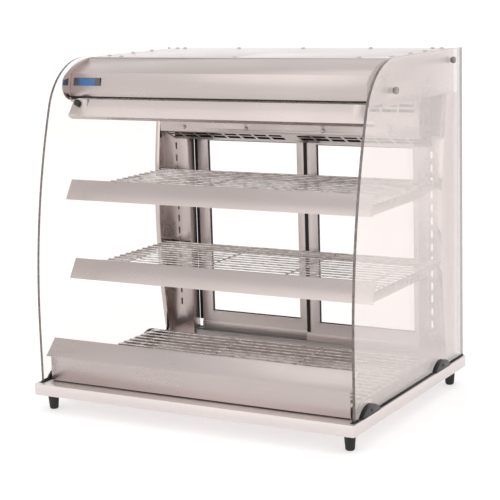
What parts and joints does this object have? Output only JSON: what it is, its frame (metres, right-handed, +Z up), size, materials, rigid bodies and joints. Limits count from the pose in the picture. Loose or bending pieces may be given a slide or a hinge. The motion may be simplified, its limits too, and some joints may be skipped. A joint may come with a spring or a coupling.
{
  "type": "hot food display case",
  "caption": "Countertop heated food display case with curved glass sides, a steel hood with a warm-air duct, wire shelves and sliding rear doors.",
  "frame": {"origin": "middle of the case over the surface that its feet stand on", "axes": "+X to the right seen from the customer side, +Y towards the sliding doors at the back, +Z up"},
  "size_m": [0.8, 0.614, 0.7847],
  "materials": {
    "steel": "polished",
    "wire": "polished",
    "track": "satin",
    "dark_fitting": "satin",
    "bolt": "polished",
    "rubber": "matt",
    "glass": "clear",
    "tube": "opal",
    "black_plastic": "matt",
    "rocker": "gloss",
    "pilot": "gloss",
    "light_plastic": "matt",
    "motor": "satin",
    "fan": "satin",
    "element": "matt"
  },
  "bodies": {
    "case": {"base_tray": "steel", "base_cover": "steel", "foot_front_left": "rubber", "foot_front_right": "rubber", "foot_rear_left": "rubber", "foot_rear_right": "rubber", "foot_screws": "bolt", "glass_channel_left": "rubber", "glass_channel_right": "rubber", "side_glass_left": "glass", "side_glass_right": "glass", "glass_clamps_left": "dark_fitting", "glass_clamps_right": "dark_fitting", "standoffs_left": "dark_fitting", "standoffs_right": "dark_fitting", "column_left": "steel", "column_right": "steel", "hood_cheek_left": "steel", "hood_cheek_right": "steel", "hood_front": "steel", "front_seals": "rubber", "top_cover": "steel", "sheet_screws": "dark_fitting", "hood_floor": "steel", "rear_panel": "steel", "rear_post_left": "steel", "rear_post_right": "steel", "duct_front": "steel", "air_grille": "steel", "cover_pins": "dark_fitting", "lamp_tube": "tube", "lampholders": "black_plastic", "blower_motor": "motor", "heater_element": "element", "terminal_block": "light_plastic", "power_switch": "black_plastic", "lamp_switch": "black_plastic", "thermostat": "light_plastic", "pilot_lamp": "pilot", "cable_gland": "black_plastic", "deck_front": "steel", "deck_frame": "steel", "bottom_track": "track", "top_track": "track"},
    "door_left": {"door_left": "steel", "door_left_glass": "glass", "door_left_seal": "rubber"},
    "door_right": {"door_right": "steel", "door_right_glass": "glass", "door_right_seal": "rubber"},
    "upper_shelf": {"upper_shelf": "steel"},
    "upper_rack": {"upper_rack": "wire"},
    "middle_shelf": {"middle_shelf": "steel"},
    "middle_rack": {"middle_rack": "wire"},
    "deck_rack": {"deck_rack": "wire"},
    "lamp_cover": {"lamp_cover": "steel"},
    "blower_wheel": {"blower_wheel": "fan"},
    "power_rocker": {"power_rocker": "rocker"},
    "lamp_rocker": {"lamp_rocker": "rocker"},
    "thermostat_knob": {"thermostat_knob": "black_plastic"}
  },
  "joints": [
    {"name": "door_left_slide", "type": "slide", "parent": "case", "child": "door_left", "axis": [1, 0, 0], "range_m": [-0.05, 0.305]},
    {"name": "door_right_slide", "type": "slide", "parent": "case", "child": "door_right", "axis": [1, 0, 0], "range_m": [-0.305, 0.04]},
    {"name": "upper_shelf_lift", "type": "slide", "parent": "case", "child": "upper_shelf", "axis": [0, 0, 1], "range_m": [0, 0.006]},
    {"name": "upper_rack_lift", "type": "slide", "parent": "upper_shelf", "child": "upper_rack", "axis": [0, 0, 1], "range_m": [0, 0.06]},
    {"name": "middle_shelf_lift", "type": "slide", "parent": "case", "child": "middle_shelf", "axis": [0, 0, 1], "range_m": [0, 0.006]},
    {"name": "middle_rack_lift", "type": "slide", "parent": "middle_shelf", "child": "middle_rack", "axis": [0, 0, 1], "range_m": [0, 0.06]},
    {"name": "deck_rack_lift", "type": "slide", "parent": "case", "child": "deck_rack", "axis": [0, 0, 1], "range_m": [0, 0.06]},
    {"name": "lamp_cover_hinge", "type": "hinge", "parent": "case", "child": "lamp_cover", "pos_m": [0, -0.1415, 0.69], "axis": [-1, 0, 0], "range_deg": [0, 60]},
    {"name": "blower_spin", "type": "hinge", "parent": "case", "child": "blower_wheel", "pos_m": [0, 0.208, 0.73], "axis": [1, 0, 0], "continuous": true},
    {"name": "power_rocker_tilt", "type": "hinge", "parent": "case", "child": "power_rocker", "pos_m": [0.262, 0.2894, 0.74], "axis": [0, 0, 1], "range_deg": [-18, 0]},
    {"name": "lamp_rocker_tilt", "type": "hinge", "parent": "case", "child": "lamp_rocker", "pos_m": [0.212, 0.2894, 0.74], "axis": [0, 0, 1], "range_deg": [-18, 0]},
    {"name": "thermostat_turn", "type": "hinge", "parent": "case", "child": "thermostat_knob", "pos_m": [0.318, 0.3, 0.74], "axis": [0, -1, 0], "range_deg": [0, 270]}
  ]
}
